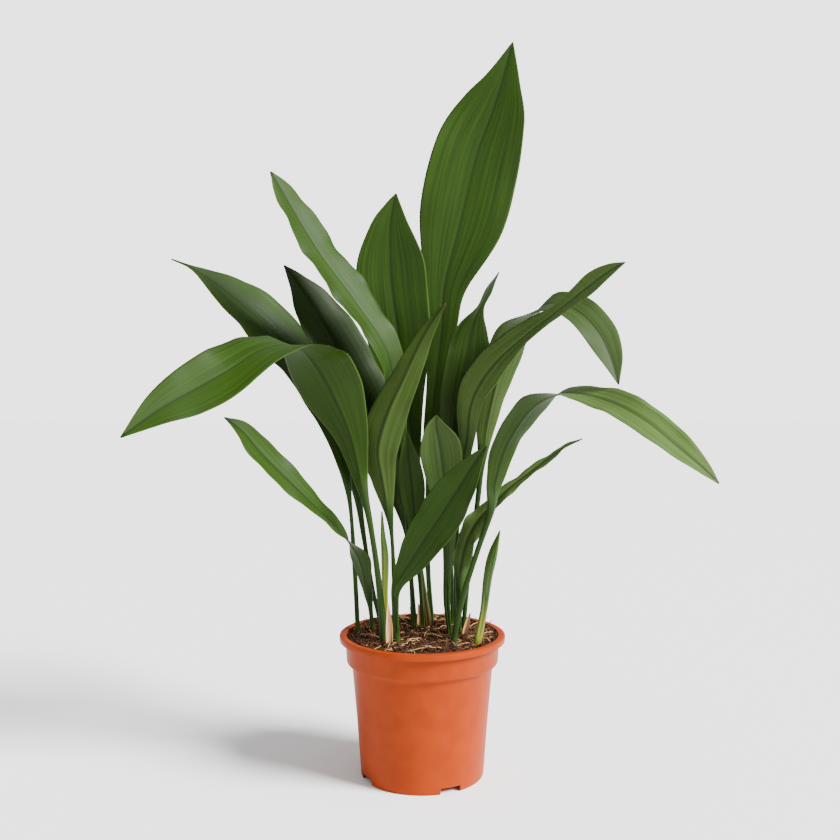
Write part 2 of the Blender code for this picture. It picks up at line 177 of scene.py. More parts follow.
@dataclass(frozen=True)
class LivingLeaf:
    """Living cast iron plant leaf: leathery, under a thin waxy skin.

    Fine parallel veins, 1.3 mm apart, streak its green from petiole to tip, and the wax gives a satin
    gloss that breaks up along them.
    """

    tone: Tone
    roughness: float = 0.50
    ior: float = 1.45
    gloss: float = 0.14
    vein_mm: float = 1.3
    band_mm: float = 3.4
    # how strongly the painted groove shade darkens the midrib
    midrib_shade_share: float = 0.7
    margin_share: float = 0.25

    def make(self) -> bpy.types.Material:
        """Build the material; returns it."""
        made, tree, shader = new_material("living_leaf_" + self.tone.name.lower())
        upper_deep, upper_light, under_deep, under_light = self.tone.value
        uv = add_node(tree, "ShaderNodeUVMap", {"uv_map": "blade"}).outputs["UV"]
        veins = self._streaks(tree, uv, self.vein_mm, 260.0, 2.0)
        bands = self._streaks(tree, uv, self.band_mm, 150.0, 4.0)
        value = add_node(tree, "ShaderNodeMath", {"operation": "MULTIPLY_ADD", "use_clamp": True},
                         {1: 0.5}, {0: veins, 2: self._scaled(tree, bands, 0.5)}).outputs[0]
        top = ramp(tree, value, [(0.25, upper_deep), (0.75, upper_light)])
        under = ramp(tree, value, [(0.25, under_deep), (0.75, under_light)])
        colour = blend_colours(tree, self._share(tree, "underside"), top, under)
        stalk = ramp(tree, bands, [(0.3, LeafColour.STALK_DEEP.value), (0.7, LeafColour.STALK_LIGHT.value)])
        colour = blend_colours(tree, self._share(tree, "petiole"), colour, stalk)
        # painted shade: darken the midrib line as the shadow in its groove
        midrib = self._scaled(tree, self._share(tree, "midrib"), self.midrib_shade_share)
        colour = blend_colours(tree, midrib, colour, LeafColour.MIDRIB.value)
        margin = self._scaled(tree, self._share(tree, "margin"), self.margin_share)
        colour = blend_colours(tree, margin, colour, LeafColour.MARGIN.value)
        colour = blend_colours(tree, self._share(tree, "dry"), colour, LeafColour.DRY.value)
        colour = blend_colours(tree, self._share(tree, "foot"), colour, LeafColour.FOOT.value)
        tree.links.new(colour, shader.inputs["Base Color"])
        satin = add_node(tree, "ShaderNodeMapRange", inputs={1: 0.3, 2: 0.7, 3: self.roughness - 0.08,
                         4: self.roughness + 0.14}, links={0: value})
        tree.links.new(satin.outputs[0], shader.inputs["Roughness"])
        bump = add_node(tree, "ShaderNodeBump", inputs={"Strength": 0.5, "Distance": 0.15 * MM},
                        links={"Height": value})
        tree.links.new(bump.outputs["Normal"], shader.inputs["Normal"])
        shader.inputs["IOR"].default_value = self.ior
        shader.inputs["Specular IOR Level"].default_value = self.gloss
        shader.inputs["Metallic"].default_value = 0.0
        return made

    def _streaks(self, tree: bpy.types.NodeTree, uv: bpy.types.NodeSocket, across_mm: float,
                 along_mm: float, detail: float) -> bpy.types.NodeSocket:
        """Noise drawn out along the blade; returns its value."""
        mapped = add_node(tree, "ShaderNodeMapping", inputs={"Scale": (1 / across_mm, 1 / along_mm, 1)},
                          links={"Vector": uv})
        return add_node(tree, "ShaderNodeTexNoise", {"noise_dimensions": "2D"},
                        {"Scale": 1.0, "Detail": detail, "Roughness": 0.55},
                        {"Vector": mapped.outputs["Vector"]}).outputs[0]

    def _share(self, tree: bpy.types.NodeTree, name: str) -> bpy.types.NodeSocket:
        """One of the shares stored on the leaf's points."""
        return add_node(tree, "ShaderNodeAttribute", {"attribute_name": name}).outputs["Fac"]

    def _scaled(self, tree: bpy.types.NodeTree, value: bpy.types.NodeSocket,
                by: float) -> bpy.types.NodeSocket:
        """A value multiplied by a number."""
        return add_node(tree, "ShaderNodeMath", {"operation": "MULTIPLY"}, {1: by}, {0: value}).outputs[0]


@dataclass(frozen=True)
class YoungShoot:
    """Young rolled leaf: soft and green, turning to its sheath's colour towards the soil."""

    name: str = "young_shoot"
    foot: str = "#84861e"
    roughness: float = 0.45

    def make(self) -> bpy.types.Material:
        """Build the material; returns it."""
        made, tree, shader = new_material(self.name)
        uv = add_node(tree, "ShaderNodeUVMap", {"uv_map": "blade"}).outputs["UV"]
        mapped = add_node(tree, "ShaderNodeMapping", inputs={"Scale": (0.5, 0.01, 1)}, links={"Vector": uv})
        lines = add_node(tree, "ShaderNodeTexNoise", {"noise_dimensions": "2D"},
                         {"Scale": 1.0, "Detail": 3.0}, {"Vector": mapped.outputs["Vector"]}).outputs[0]
        fresh = ramp(tree, lines, [(0.3, "#1e3304"), (0.7, "#3d5a0c")])
        foot = add_node(tree, "ShaderNodeAttribute", {"attribute_name": "foot"})
        colour = blend_colours(tree, foot.outputs["Fac"], fresh, self.foot)
        tree.links.new(colour, shader.inputs["Base Color"])
        shader.inputs["Roughness"].default_value = self.roughness
        shader.inputs["Specular IOR Level"].default_value = 0.3
        return made


@dataclass(frozen=True)
class DrySheath:
    """Dry papery sheath: thin and matte, with darker lines along it."""

    name: str = "dry_papery_sheath"
    stops: tuple[tuple[float, str], ...] = ((0.3, "#8a5730"), (0.5, "#c4925f"), (0.75, "#dcb684"))
    roughness: float = 0.85

    def make(self) -> bpy.types.Material:
        """Build the material; returns it."""
        made, tree, shader = new_material(self.name)
        uv = add_node(tree, "ShaderNodeUVMap", {"uv_map": "blade"}).outputs["UV"]
        mapped = add_node(tree, "ShaderNodeMapping", inputs={"Scale": (0.9, 0.03, 1)}, links={"Vector": uv})
        lines = add_node(tree, "ShaderNodeTexNoise", {"noise_dimensions": "2D"},
                         {"Scale": 1.0, "Detail": 4.0}, {"Vector": mapped.outputs["Vector"]}).outputs[0]
        tree.links.new(ramp(tree, lines, list(self.stops)), shader.inputs["Base Color"])
        shader.inputs["Roughness"].default_value = self.roughness
        return made


@dataclass(frozen=True)
class PotPlastic:
    """Injection-moulded polypropylene, terracotta coloured: a soft gloss with faint mould haze."""

    colour: str = "#913200"
    shade: str = "#892d00"
    roughness: float = 0.45
    haze_mm: float = 18.0

    def make(self) -> bpy.types.Material:
        """Build the material; returns it."""
        made, tree, shader = new_material("moulded_polypropylene")
        place = add_node(tree, "ShaderNodeTexCoord").outputs["Object"]
        haze = add_node(tree, "ShaderNodeTexNoise", links={"Vector": place},
                        inputs={"Scale": 1 / (self.haze_mm * MM), "Detail": 3.0}).outputs[0]
        colour = ramp(tree, haze, [(0.35, self.shade), (0.65, self.colour)])
        tree.links.new(colour, shader.inputs["Base Color"])
        gloss = add_node(tree, "ShaderNodeMapRange", inputs={3: self.roughness - 0.04,
                         4: self.roughness + 0.06}, links={0: haze})
        tree.links.new(gloss.outputs[0], shader.inputs["Roughness"])
        shader.inputs["IOR"].default_value = 1.49
        shader.inputs["Specular IOR Level"].default_value = 0.10
        return made


@dataclass(frozen=True)
class DampSoil:
    """Damp potting mix of peat and bark: dark brown, rough, with lighter crumbs."""

    name: str = "damp_potting_mix"
    stops: tuple[tuple[float, str], ...] = ((0.32, "#120904"), (0.5, "#2b180c"), (0.7, "#4d301a"))
    grain_mm: float = 3.0

    def make(self) -> bpy.types.Material:
        """Build the material; returns it."""
        made, tree, shader = new_material(self.name)
        place = add_node(tree, "ShaderNodeTexCoord").outputs["Object"]
        grain = add_node(tree, "ShaderNodeTexNoise", links={"Vector": place}, inputs={
            "Scale": 1 / (self.grain_mm * MM), "Detail": 6.0, "Roughness": 0.65}).outputs[0]
        tree.links.new(ramp(tree, grain, list(self.stops)), shader.inputs["Base Color"])
        bump = add_node(tree, "ShaderNodeBump", inputs={"Strength": 0.8, "Distance": 0.8 * MM},
                        links={"Height": grain})
        tree.links.new(bump.outputs["Normal"], shader.inputs["Normal"])
        shader.inputs["Roughness"].default_value = 0.95
        shader.inputs["Specular IOR Level"].default_value = 0.1
        return made


@dataclass(frozen=True)
class PlainFinish:
    """A finish of one colour and roughness, named for the real material."""

    name: str
    colour: str
    roughness: float

    def make(self) -> bpy.types.Material:
        """Build the material; returns it."""
        made, _, shader = new_material(self.name)
        shader.inputs["Base Color"].default_value = linear(self.colour)
        shader.inputs["Roughness"].default_value = self.roughness
        return made


def deselect() -> None:
    """Deselect everything, so that the next operator acts on the new piece only."""
    if bpy.context.mode != "OBJECT":
        bpy.ops.object.mode_set(mode="OBJECT")
    bpy.ops.object.select_all(action="DESELECT")


def hold(piece: bpy.types.Object) -> None:
    """Make one object the only selected and the active one."""
    deselect()
    piece.select_set(True)
    bpy.context.view_layer.objects.active = piece


def get_points(piece: bpy.types.Object) -> np.ndarray:
    """The mesh's points, one row each."""
    co = np.empty(len(piece.data.vertices) * 3)
    piece.data.vertices.foreach_get("co", co)
    return co.reshape(-1, 3)


def set_points(piece: bpy.types.Object, points: np.ndarray) -> None:
    """Move the mesh's points."""
    piece.data.vertices.foreach_set("co", np.ascontiguousarray(points, dtype=np.float32).ravel())
    piece.data.update()


def finish_piece(piece: bpy.types.Object, material: bpy.types.Material, nodes: list[str]) -> bpy.types.Object:
    """Dress a piece, hang it on the root body and hide the CAD nodes that it replaces.

    Args:
        piece: The finished mesh, its place in its own points.
        material: Its finish.
        nodes: The CAD nodes that it replaces.

    Returns:
        The piece.
    """
    piece.data.materials.clear()
    piece.data.materials.append(material)
    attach(piece, BODY)
    if nodes:
        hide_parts(*nodes)
    log.info("%s: %d faces", piece.name, len(piece.data.polygons))
    return piece


def smooth_rows(rows: np.ndarray, spacing: float) -> tuple[np.ndarray, float]:
    """Rows evenly spaced along a smooth curve through the given ones (Catmull-Rom).

    Args:
        rows: Given rows; the first three columns are a place.
        spacing: Wanted distance between rows.

    Returns:
        The rows and the curve's length.
    """
    ends = np.vstack([2 * rows[0] - rows[1], rows, 2 * rows[-1] - rows[-2]])
    t = np.linspace(0.0, 1.0, 60, endpoint=False)[:, None]
    fine = [0.5 * (2 * b + (c - a) * t + (2 * a - 5 * b + 4 * c - d) * t**2
                   + (3 * b - a - 3 * c + d) * t**3)
            for a, b, c, d in zip(ends, ends[1:], ends[2:], ends[3:])]
    fine = np.vstack(fine + [rows[-1:]])
    steps = np.linalg.norm(np.diff(fine[:, :3], axis=0), axis=1)
    along = np.concatenate([[0.0], np.cumsum(steps)])
    count = max(8, int(along[-1] / spacing))
    at = np.linspace(0.0, along[-1], count + 1)
    return np.stack([np.interp(at, along, fine[:, k]) for k in range(rows.shape[1])], axis=1), along[-1]


@dataclass
class GrownPiece:
    """A leaf, shoot or sheath, grown as one piece from the soil to its tip."""

    name: str
    rows: tuple[Row, ...]
    slot: str
    around: int = 64
    spacing: float = 3.0 * MM
    half_thickness: float = 0.3 * MM
    fold: float = 9.0
    arch: float = 0.0
    curl: float = 0.0
    wave: float = 1.5
    wavelength: float = 75.0
    pleat: float = 0.05
    pleat_width: float = 6.0
    dry_tip: float = 0.0
    pale_foot: float = 18.0
    thin_to_foot: bool = False
    seed: float = 0.0

    def draw(self) -> bpy.types.Object:
        """Draw a cylinder out along the rows; returns the mesh object."""
        given = np.array(self.rows, float) * [MM, MM, MM, MM, 1.0]
        root = given[0].copy()
        root[2] = ROOTED_AT
        path, length = smooth_rows(np.vstack([root, given]), self.spacing)
        count = len(path) - 1
        deselect()
        bpy.ops.mesh.primitive_cylinder_add(vertices=self.around, radius=1.0, depth=1.0,
                                            end_fill_type="TRIFAN", calc_uvs=False)
        piece = bpy.context.active_object
        piece.name = piece.data.name = self.name
        self._cut_rings(piece, count)
        points = get_points(piece)
        ring = np.rint((points[:, 2] + 0.5) * count).astype(int)
        angle = np.arctan2(points[:, 1], points[:, 0])
        centre = np.hypot(points[:, 0], points[:, 1]) < 0.5
        self._shape(piece, path, length, ring, angle, centre, given[-1][3])
        bpy.ops.object.shade_smooth()
        return piece

    def _cut_rings(self, piece: bpy.types.Object, count: int) -> None:
        """Cut the cylinder's side into rings along its length."""
        bpy.ops.object.mode_set(mode="EDIT")
        bpy.ops.mesh.select_all(action="DESELECT")
        bpy.ops.mesh.select_mode(type="EDGE")
        bpy.ops.object.mode_set(mode="OBJECT")
        points = get_points(piece)
        for edge in piece.data.edges:
            first, second = edge.vertices
            edge.select = abs(points[first, 2] - points[second, 2]) > 0.5
        bpy.ops.object.mode_set(mode="EDIT")
        bpy.ops.mesh.subdivide(number_cuts=count - 1)
        bpy.ops.object.mode_set(mode="OBJECT")

    def _shape(self, piece: bpy.types.Object, path: np.ndarray, length: float, ring: np.ndarray,
               angle: np.ndarray, centre: np.ndarray, tip_half: float) -> None:
        """Place every point and store what the finish reads.

        Args:
            piece: The cylinder, cut into rings.
            path: One row for each ring.
            length: Length of the piece.
            ring: Each point's ring.
            angle: Each point's place round the ring.
            centre: Which points are the middles of the end caps.
            tip_half: Half-width at the tip.
        """
        halves = np.maximum(path[:, 3], tip_half)
        flat = np.ones(len(path)) if self.thin_to_foot else np.maximum.accumulate(
            np.clip((halves - ROUND_BELOW) / (FLAT_ABOVE - ROUND_BELOW), 0.0, 1.0))
        flat = flat * flat * (3 - 2 * flat)
        place, turn = path[:, :3], np.radians(path[:, 4])
        tangent = np.gradient(place, axis=0)
        tangent /= np.linalg.norm(tangent, axis=1)[:, None]
        front = np.array([0.0, -1.0, 0.0])
        facing = front - tangent * (tangent @ front)[:, None]
        facing /= np.linalg.norm(facing, axis=1)[:, None]
        upper = np.cos(turn)[:, None] * facing + np.sin(turn)[:, None] * np.cross(tangent, facing)
        side = np.cross(upper, tangent)
        top_half = halves.max()
        s = ring / (len(path) - 1)
        turn_share = (np.degrees(angle) + 360.0) % 360.0 / 90.0
        linear_x = np.where(turn_share < 2, 1 - turn_share, turn_share - 3)
        f = flat[ring]
        x = np.cos(angle) * (1 - f) + linear_x * f
        x = np.where(centre, 0.0, x)
        sign = np.where(centre, 0.0, np.sign(np.sin(angle) + 1e-9) * (np.abs(np.sin(angle)) > 1e-6))
        half = halves[ring]
        mm_across = x * half / MM
        lens = np.sqrt(np.clip(1 - x**6, 0.0, 1.0)) * self.half_thickness
        lens = lens + 0.45 * MM * np.exp(-((mm_across / 1.6) ** 2)) * (sign < 0)
        lens = np.minimum(lens, half * 0.8)
        stalk = np.abs(np.sin(angle)) * half * 0.85
        groove = 0.25 * half * np.exp(-((x / 0.35) ** 2)) * (sign > 0) * (half < 4 * MM)
        thick = sign * (stalk * (1 - f) + lens * f) - groove * (1 - f)
        crown = self._crown(x, s, half, mm_across, length, top_half)
        curl = math.radians(self.curl)
        fold = math.radians(self.fold) * f
        if curl:
            reach = half / curl * np.sin(curl * x * f) + x * half * (1 - f)
            lift = half / curl * (1 - np.cos(curl * x * f))
        else:
            reach = x * half * np.cos(fold)
            lift = half * (np.sqrt(x**2 + 0.05) - 0.224) * np.sin(fold) - self.arch * half * x**2 * f
        rise = lift + thick + crown * f
        set_points(piece, place[ring] + side[ring] * reach[:, None] + upper[ring] * rise[:, None])
        self._store(piece, x, s, f, sign, half, length, top_half)

    def _crown(self, x: np.ndarray, s: np.ndarray, half: np.ndarray, mm_across: np.ndarray,
               length: float, top_half: float) -> np.ndarray:
        """Height of the pleats, the midrib's groove and the margin's waves over the blade."""
        wide = np.clip(half / top_half, 0.0, 1.0)
        pleats = max(3, round(top_half / MM / self.pleat_width))
        turns = pleats * np.abs(x) ** 0.95 + 0.35 * np.sin(5.0 * s + self.seed)
        ridge = np.cos(2 * math.pi * turns) * self.pleat * MM * wide * (1 - np.abs(x) ** 8)
        second = np.cos(2 * math.pi * (pleats * 1.7 * x + self.seed)) * 0.3 * self.pleat * MM * wide
        groove = -0.7 * MM * np.exp(-((mm_across / 2.2) ** 2)) * wide
        phase = 2 * math.pi * s * length / (self.wavelength * MM) + self.seed
        swing = np.where(x > 0, np.sin(phase), np.sin(phase * 0.83 + 1.9 + self.seed))
        small = np.where(x > 0, np.sin(phase * 2.3 + 1.0), np.sin(phase * 2.1 + 0.4))
        wave = (swing + 0.35 * small) * self.wave * MM * np.abs(x) ** 2.2 * wide
        return ridge + second + groove + wave

    def _store(self, piece: bpy.types.Object, x: np.ndarray, s: np.ndarray, f: np.ndarray,
               sign: np.ndarray, half: np.ndarray, length: float, top_half: float) -> None:
        """Store the blade's map and the shares that the finish reads."""
        mesh = piece.data
        corners = np.empty(len(mesh.loops), dtype=np.int32)
        mesh.loops.foreach_get("vertex_index", corners)
        sides = np.empty(len(mesh.polygons), dtype=np.int32)
        mesh.polygons.foreach_get("loop_total", sides)
        face = np.repeat(np.arange(len(sides)), sides)
        under = np.bincount(face, weights=sign[corners]) < 0
        blade = np.stack([x * top_half / MM + self.seed * PIECE_SHIFT, s * length / MM], axis=1)[corners]
        blade[:, 0] += UNDERSIDE_SHIFT * under[face]
        layer = mesh.uv_layers.new(name="blade")
        layer.data.foreach_set("uv", blade.astype(np.float32).ravel())
        from_edge = (1 - np.abs(x)) * half / MM
        mm_along = s * length / MM
        shares = {
            "underside": (sign < 0) * f,
            "petiole": 1 - f,
            "midrib": np.exp(-((x * half / MM / 1.1) ** 2)) * f,
            "margin": np.clip(1.3 - from_edge / 0.9, 0.0, 1.0) * f * np.clip(half / (6 * MM), 0.0, 1.0),
            "dry": np.clip((mm_along - length / MM + self.dry_tip) / 6.0, 0.0, 1.0) * bool(self.dry_tip),
            "foot": np.clip(1 - (mm_along - 12.0) / self.pale_foot, 0.0, 1.0),
        }
        for name, share in shares.items():
            stored = mesh.attributes.new(name=name, type="FLOAT", domain="POINT")
            stored.data.foreach_set("value", np.ascontiguousarray(share, dtype=np.float32))


LEAF_SLOT = "leaf_green"
# Each leaf is given a tone; all but the mid tone paint light and shade onto it, by how the leaf sits towards
# the light.
LEAVES: tuple[tuple[GrownPiece, Tone], ...] = (
    (GrownPiece("tall_leaf", (
        (11, 52, 138, 2.8, 0), (6, 57, 208, 2.7, 0), (7, 61, 300, 3.5, 0), (9, 62, 345, 8, 0),
        (14, 62, 395, 10, 0), (21, 62, 458, 16, 0), (24, 61, 505, 24, 5), (41, 56, 572, 46, 5),
        (57, 50, 640, 47, 5), (74, 45, 686, 35, 0), (84, 40, 717, 18, 0), (93, 35, 752, 0.7, 0)),
        LEAF_SLOT, around=96, wave=1.5, wavelength=120, fold=10, arch=0.05, seed=0.3), Tone.MID),
    (GrownPiece("upper_centre_leaf", (
        (2, 40, 138, 2.5, 0), (-3, 45, 213, 2.5, 0), (-6, 47, 290, 3.5, 0), (-10, 46, 340, 9, 0),
        (-16, 45, 385, 18, 0), (-24, 42, 445, 33, 0), (-31, 38, 498, 37, 0), (-33, 35, 530, 35, 0),
        (-33, 31, 562, 22, 0), (-30, 29, 583, 10, 0), (-27, 27, 597, 0.7, 0)),
        LEAF_SLOT, around=80, wave=1.2, seed=1.1), Tone.MID),
    (GrownPiece("upper_left_leaf", (
        (-7, 20, 141, 2.4, 0), (-13, 22, 217, 2.4, 0), (-18, 18, 300, 3.2, 20), (-24, 9, 365, 9, 40),
        (-36, 4, 435, 18, 45), (-68, 1, 486, 24, 48), (-100, -1, 529, 24, 50), (-125, -4, 569, 20, 50),
        (-140, -7, 595, 14, 50), (-151, -10, 613, 0.8, 50)),
        LEAF_SLOT, wave=2.2, wavelength=60, fold=10, seed=2.0), Tone.MID),
    (GrownPiece("second_left_leaf", (
        (-67, 12, 141, 2.5, 0), (-71, 20, 217, 2.5, 0), (-77, 30, 285, 3, 20), (-90, 42, 341, 14, 40),
        (-121, 50, 410, 28, 45), (-165, 52, 463, 33, 45), (-202, 49, 495, 23, 45),
        (-225, 46, 512, 12, 45), (-243, 43, 523, 3, 45), (-262, 40, 531, 0.8, 50)),
        LEAF_SLOT, wave=1.8, wavelength=80, seed=2.7), Tone.MID),
    (GrownPiece("big_left_leaf", (
        (-38, -30, 142, 4.1, 180), (-44, -28, 207, 3.2, 180), (-52, -26, 262, 3, 178),
        (-60, -23, 299, 6, 172), (-72, -20, 351, 19, 162), (-89, -22, 392, 33, 160),
        (-104, -30, 419, 37, 150), (-117, -46, 436, 35, 118), (-132, -68, 441, 32, 78),
        (-153, -92, 434, 30, 48), (-178, -115, 416, 28, 25), (-204, -132, 400, 25, 15),
        (-230, -149, 384, 17, 12), (-260, -170, 360, 0.7, 10)),
        LEAF_SLOT, wave=1.6, wavelength=90, seed=3.3), Tone.MID),
    (GrownPiece("dark_left_leaf", (
        (-10, 36, 146, 2.3, 0), (-12, 36, 198, 2.3, 0), (-15, 34, 238, 3, 15), (-21, 30, 270, 8, 25),
        (-33, 24, 312, 18, 28), (-56, 20, 378, 29, 28), (-89, 23, 441, 32, 38), (-114, 24, 483, 26, 42),
        (-130, 22, 506, 14, 50), (-142, 20, 523, 0.8, 50)),
        LEAF_SLOT, wave=1.8, seed=4.2), Tone.DEEP),
    (GrownPiece("low_left_leaf", (
        (-52, 10, 145, 2.6, 140), (-54, 9, 172, 3, 140), (-59, 6, 198, 9, 138), (-66, 2, 224, 15, 130),
        (-84, -6, 253, 16, 85), (-122, -24, 295, 15, 58), (-156, -40, 333, 19, 58),
        (-175, -49, 357, 12, 60), (-191, -57, 371, 0.7, 60)),
        LEAF_SLOT, wave=1.6, wavelength=70, seed=5.1), Tone.MID),
    (GrownPiece("back_left_leaf", (
        (-45, 44, 146, 2.4, 0), (-53, 45, 181, 2.4, 0), (-62, 48, 235, 2.6, 0), (-69, 56, 280, 5, 4),
        (-77, 72, 324, 14, 12), (-87, 98, 357, 24, 32), (-98, 128, 370, 23, 90),
        (-108, 152, 362, 13, 128), (-116, 168, 346, 0.7, 142)),
        LEAF_SLOT, wave=1.6, seed=5.9), Tone.MID),
    (GrownPiece("pale_front_leaf", (
        (-27, -6, 144, 2.5, 165), (-29, -8, 207, 2.4, 165), (-32, -11, 259, 2.8, 165),
        (-40, -14, 305, 13, 165), (-44, -17, 336, 20, 165), (-35, -18, 371, 20, 162),
        (-18, -18, 408, 16, 158), (0, -19, 446, 10, 150), (13, -21, 468, 6, 140),
        (23, -24, 482, 0.8, 130)),
        LEAF_SLOT, wave=1.4, dry_tip=8, seed=6.4), Tone.GREY),
    (GrownPiece("front_dark_leaf", (
        (-26, -28, 140, 4.4, -10), (-27, -31, 177, 3.6, -10), (-25, -36, 203, 6, -15),
        (-7, -44, 235, 17, -22), (17, -55, 274, 23, -25), (37, -65, 307, 18, -25),
        (50, -72, 329, 9, -25), (61, -78, 345, 0.7, -25)),
        LEAF_SLOT, wave=1.5, wavelength=60, seed=7.2), Tone.MID),
    (GrownPiece("short_broad_leaf", (
        (28, 0, 146, 2.6, 0), (25, -4, 181, 3.6, 0), (26, -8, 223, 5, -10), (27, -11, 264, 9, -5),
        (22, -13, 305, 18, 0), (18, -14, 338, 21, 0), (14, -15, 358, 12, 0), (14, -16, 371, 0.8, 0)),
        LEAF_SLOT, wave=1.2, seed=8.0), Tone.GREY),
    (GrownPiece("small_dark_leaf", (
        (1, 20, 143, 2.3, 0), (-3, 14, 203, 2.3, 0), (-7, 6, 251, 6, 0), (-10, 1, 293, 13, 0),
        (-13, -3, 322, 11, 0), (-15, -4, 339, 6, 0), (-16, -5, 354, 0.7, 0)),
        LEAF_SLOT, wave=1.0, seed=8.8), Tone.MID),
    (GrownPiece("narrow_curled_leaf", (
        (33, 34, 142, 2.3, 0), (31, 36, 194, 2.3, 0), (28, 36, 279, 3, 0), (31, 34, 335, 13, 5),
        (38, 30, 385, 21, 12), (46, 26, 428, 25, 25), (51, 23, 458, 19, 28), (60, 21, 481, 6, 50),
        (69, 21, 500, 7, 60), (79, 22, 516, 0.8, 70)),
        LEAF_SLOT, wave=1.4, wavelength=60, seed=9.5), Tone.DEEP),
    (GrownPiece("right_arching_leaf", (
        (36, 18, 144, 2.4, 0), (35, 15, 219, 2.4, 0), (38, 10, 282, 3, -15), (45, 3, 339, 9, -40),
        (50, -4, 384, 21, -52), (70, -14, 420, 26, -56), (101, -32, 450, 19, -62),
        (132, -58, 475, 12, -62), (158, -84, 497, 15, -55), (171, -96, 507, 10, -52),
        (184, -107, 515, 0.7, -50)),
        LEAF_SLOT, wave=1.3, seed=10.3), Tone.PALE),
    (GrownPiece("right_drooping_leaf", (
        (43, 20, 144, 2.4, 180), (50, 22, 219, 2.4, 180), (58, 26, 280, 2.8, 190),
        (62, 27, 320, 4.5, 200), (69, 24, 369, 14, 208), (83, 18, 424, 23, 215), (103, 2, 463, 27, 240),
        (126, -18, 482, 22, 290), (150, -36, 475, 19, 325), (168, -50, 456, 19, 338),
        (179, -62, 431, 13, 346), (186, -72, 403, 0.7, 350)),
        LEAF_SLOT, wave=1.5, seed=11.2), Tone.GREY),
    (GrownPiece("right_low_leaf", (
        (31, -35, 143, 3.4, 185), (39, -33, 186, 3, 192), (54, -28, 233, 2.8, 200),
        (67, -26, 272, 4, 208), (73, -24, 306, 11, 214), (85, -23, 343, 18, 220),
        (109, -28, 379, 23, 232), (139, -46, 394, 18, 275), (171, -80, 389, 17, 318),
        (200, -118, 373, 18, 326), (228, -145, 348, 14, 330), (244, -158, 333, 8, 332),
        (256, -168, 320, 0.7, 335)),
        LEAF_SLOT, wave=1.5, wavelength=70, seed=12.0), Tone.PALE),
    (GrownPiece("narrow_right_leaf", (
        (38, 2, 150, 2.4, -20), (38, 2, 187, 3.6, -25), (42, 1, 228, 11, -35), (55, 1, 259, 12, -42),
        (84, 0, 291, 8, -50), (110, -2, 312, 6, -50), (129, -5, 327, 6, -62), (144, -8, 338, 4.5, -75),
        (161, -12, 347, 0.7, -60)),
        LEAF_SLOT, wave=2.6, wavelength=42, fold=8, seed=12.9), Tone.PALE),
)
SHOOTS: tuple[GrownPiece, ...] = (
    GrownPiece("rolled_left_shoot", (
        (-37, -6, 146, 3.4, 0), (-38, -8, 185, 3, 0), (-38, -9, 225, 3.8, 15), (-40, -10, 250, 2.4, 20),
        (-41, -11, 273, 0.7, 20)),
        "shoot_green", around=40, wave=0.2, pale_foot=100, seed=1.5),
    GrownPiece("right_shoot", (
        (54, -35, 140, 4.2, 0), (61, -34, 177, 3.6, 0), (65, -33, 210, 4.6, -20),
        (70, -32, 233, 5.4, -40), (77, -31, 257, 0.7, -40)),
        "shoot_green", around=48, wave=0.3, pale_foot=52, seed=2.5),
    GrownPiece("centre_shoot", (
        (6, 32, 146, 3.8, 0), (2, 32, 176, 3.6, 0), (0, 31, 206, 0.8, 0)),
        "shoot_green", around=32, wave=0.1, pale_foot=90, seed=3.5),
)
SHEATHS: tuple[GrownPiece, ...] = (
    GrownPiece("left_sheath", (
        (-33, -39, 141, 3.8, 5), (-33, -39, 162, 4, 5), (-34, -38, 184, 0.8, 5)),
        "papery_sheath", around=32, curl=55, wave=0.5, pleat=0.1, thin_to_foot=True, spacing=1.5 * MM),
    GrownPiece("right_sheath", (
        (44, -6, 146, 3.2, -20), (46, -6, 156, 3, -20), (49, -6, 168, 0.8, -20)),
        "papery_sheath", around=32, curl=60, wave=0.5, pleat=0.1, thin_to_foot=True, spacing=1.5 * MM),
    GrownPiece("centre_sheath", (
        (-3, 28, 146, 3, 0), (-3, 28, 158, 2.8, 0), (-4, 27, 170, 0.8, 0)),
        "papery_sheath", around=32, curl=60, wave=0.5, pleat=0.1, thin_to_foot=True, spacing=1.5 * MM),
)


